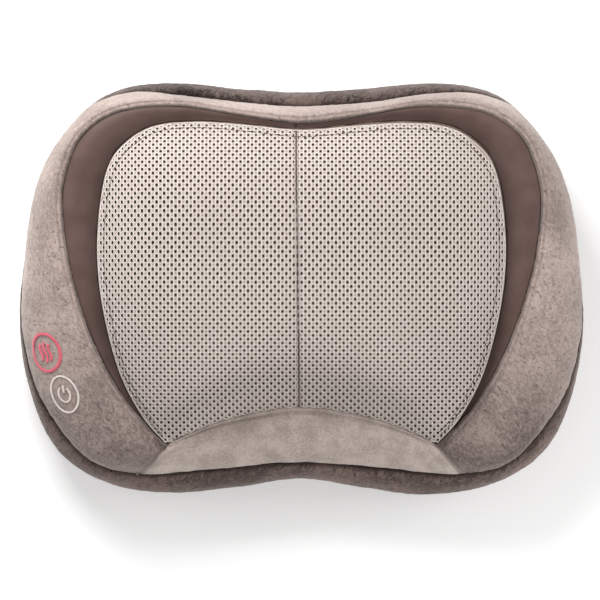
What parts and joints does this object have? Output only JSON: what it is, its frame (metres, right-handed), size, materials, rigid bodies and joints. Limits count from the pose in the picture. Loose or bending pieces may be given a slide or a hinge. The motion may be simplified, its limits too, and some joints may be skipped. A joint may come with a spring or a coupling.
{
  "type": "shiatsu neck massager",
  "caption": "Plush pillow massager with a domed mesh face over two counter-rotating heads of kneading knobs, a dark border panel and two push buttons on one wing.",
  "frame": {"origin": "centre of the bounding box's bottom, on the flat back", "axes": "+X to the wearer's right across the width, +Y towards the top edge, +Z out of the massage face"},
  "size_m": [0.3998, 0.2919, 0.1193],
  "materials": {
    "plush_taupe": "short-pile plush, matt",
    "plush_brown": "short-pile plush, matt",
    "satin_brown": "smooth stretch cloth with a slight sheen",
    "spacer_mesh": "open knitted mesh with oval holes",
    "dark_lining": "thin woven lining",
    "velour_beige": "short velour nap",
    "foam": "open-cell foam",
    "grey_plastic": "moulded, fine texture",
    "black_plastic": "moulded",
    "arm_plastic": "glass-filled, moulded",
    "white_nylon": "moulded gear nylon",
    "node_rubber": "smooth moulded rubber",
    "lamp_red": "clear red, glossy",
    "circuit_board": "solder-mask green",
    "steel": "drawn and turned",
    "zinc_plate": "zinc plated",
    "sintered_bronze": "sintered, oiled",
    "copper_winding": "enamelled wire",
    "ferrite": "pressed ferrite"
  },
  "bodies": {
    "pillow": {"back_cover": "plush_brown", "back_foam_pad": "foam", "border_panel": "satin_brown", "case_screw_1": "steel", "case_screw_2": "steel", "case_screw_3": "steel", "case_screw_4": "steel", "control_board": "circuit_board", "crescent_panel": "velour_beige", "dc_jack": "black_plastic", "frame_screw_1": "steel", "frame_screw_2": "steel", "frame_screw_3": "steel", "frame_screw_4": "steel", "front_housing": "grey_plastic", "gear_case_base": "grey_plastic", "gear_case_cover": "grey_plastic", "heat_switch": "black_plastic", "left_heat_lamp": "lamp_red", "left_motor_magnet": "ferrite", "left_output_bush": "sintered_bronze", "lining_cloth": "dark_lining", "mesh_panel_left": "spacer_mesh", "mesh_panel_right": "spacer_mesh", "motor_can": "steel", "motor_clamp": "zinc_plate", "motor_end_cap": "black_plastic", "plush_cover": "plush_taupe", "power_switch": "black_plastic", "rear_housing": "grey_plastic", "right_heat_lamp": "lamp_red", "right_motor_magnet": "ferrite", "right_output_bush": "sintered_bronze", "wing_foam_left": "foam", "wing_foam_right": "foam", "worm_end_bush": "sintered_bronze"},
    "motor_rotor": {"motor_core": "copper_winding", "worm_shaft": "steel"},
    "heat_key": {"heat_button": "plush_taupe"},
    "power_key": {"power_button": "plush_taupe"},
    "left_reduction": {"left_worm_wheel": "white_nylon", "left_pinion_shaft": "steel"},
    "left_head": {"left_massage_arm": "arm_plastic", "left_output_gear": "white_nylon", "left_output_shaft": "steel", "left_upper_screw": "steel", "left_lower_screw": "steel"},
    "left_upper_knob": {"left_upper_node": "node_rubber"},
    "left_lower_knob": {"left_lower_node": "node_rubber"},
    "right_reduction": {"right_worm_wheel": "white_nylon", "right_pinion_shaft": "steel"},
    "right_head": {"right_massage_arm": "arm_plastic", "right_output_gear": "white_nylon", "right_output_shaft": "steel", "right_upper_screw": "steel", "right_lower_screw": "steel"},
    "right_upper_knob": {"right_upper_node": "node_rubber"},
    "right_lower_knob": {"right_lower_node": "node_rubber"}
  },
  "joints": [
    {"name": "left_head_turn", "type": "hinge", "parent": "pillow", "child": "left_head", "pos_m": [-0.06225, 0.022, 0.07], "axis": [0, 0, 1], "continuous": true},
    {"name": "right_head_turn", "type": "hinge", "parent": "pillow", "child": "right_head", "pos_m": [0.06225, 0.022, 0.07], "axis": [0, 0, 1], "continuous": true},
    {"name": "left_reduction_turn", "type": "hinge", "parent": "pillow", "child": "left_reduction", "pos_m": [-0.02475, 0.022, 0.035], "axis": [0, 0, 1], "continuous": true},
    {"name": "right_reduction_turn", "type": "hinge", "parent": "pillow", "child": "right_reduction", "pos_m": [0.02475, 0.022, 0.035], "axis": [0, 0, 1], "continuous": true},
    {"name": "motor_turn", "type": "hinge", "parent": "pillow", "child": "motor_rotor", "pos_m": [0, 0.022, 0.032], "axis": [0, 1, 0], "continuous": true},
    {"name": "left_upper_spin", "type": "hinge", "parent": "left_head", "child": "left_upper_knob", "pos_m": [-0.06225, 0.06, 0.09], "axis": [0, 0, 1], "continuous": true},
    {"name": "left_lower_spin", "type": "hinge", "parent": "left_head", "child": "left_lower_knob", "pos_m": [-0.06225, -0.016, 0.09], "axis": [0, 0, 1], "continuous": true},
    {"name": "right_upper_spin", "type": "hinge", "parent": "right_head", "child": "right_upper_knob", "pos_m": [0.06225, 0.06, 0.09], "axis": [0, 0, 1], "continuous": true},
    {"name": "right_lower_spin", "type": "hinge", "parent": "right_head", "child": "right_lower_knob", "pos_m": [0.06225, -0.016, 0.09], "axis": [0, 0, 1], "continuous": true},
    {"name": "heat_press", "type": "slide", "parent": "pillow", "child": "heat_key", "axis": [0.5976, 0.2494, -0.762], "range_m": [0, 0.002], "stiffness_N_per_m": 400},
    {"name": "power_press", "type": "slide", "parent": "pillow", "child": "power_key", "axis": [0.3721, 0.3477, -0.8606], "range_m": [0, 0.002], "stiffness_N_per_m": 400}
  ],
  "couplings": [
    {"joint": "right_head_turn", "follows": "left_head_turn", "ratio": -1},
    {"joint": "left_reduction_turn", "follows": "left_head_turn", "ratio": -4},
    {"joint": "right_reduction_turn", "follows": "left_head_turn", "ratio": 4},
    {"joint": "motor_turn", "follows": "left_head_turn", "ratio": 120}
  ]
}
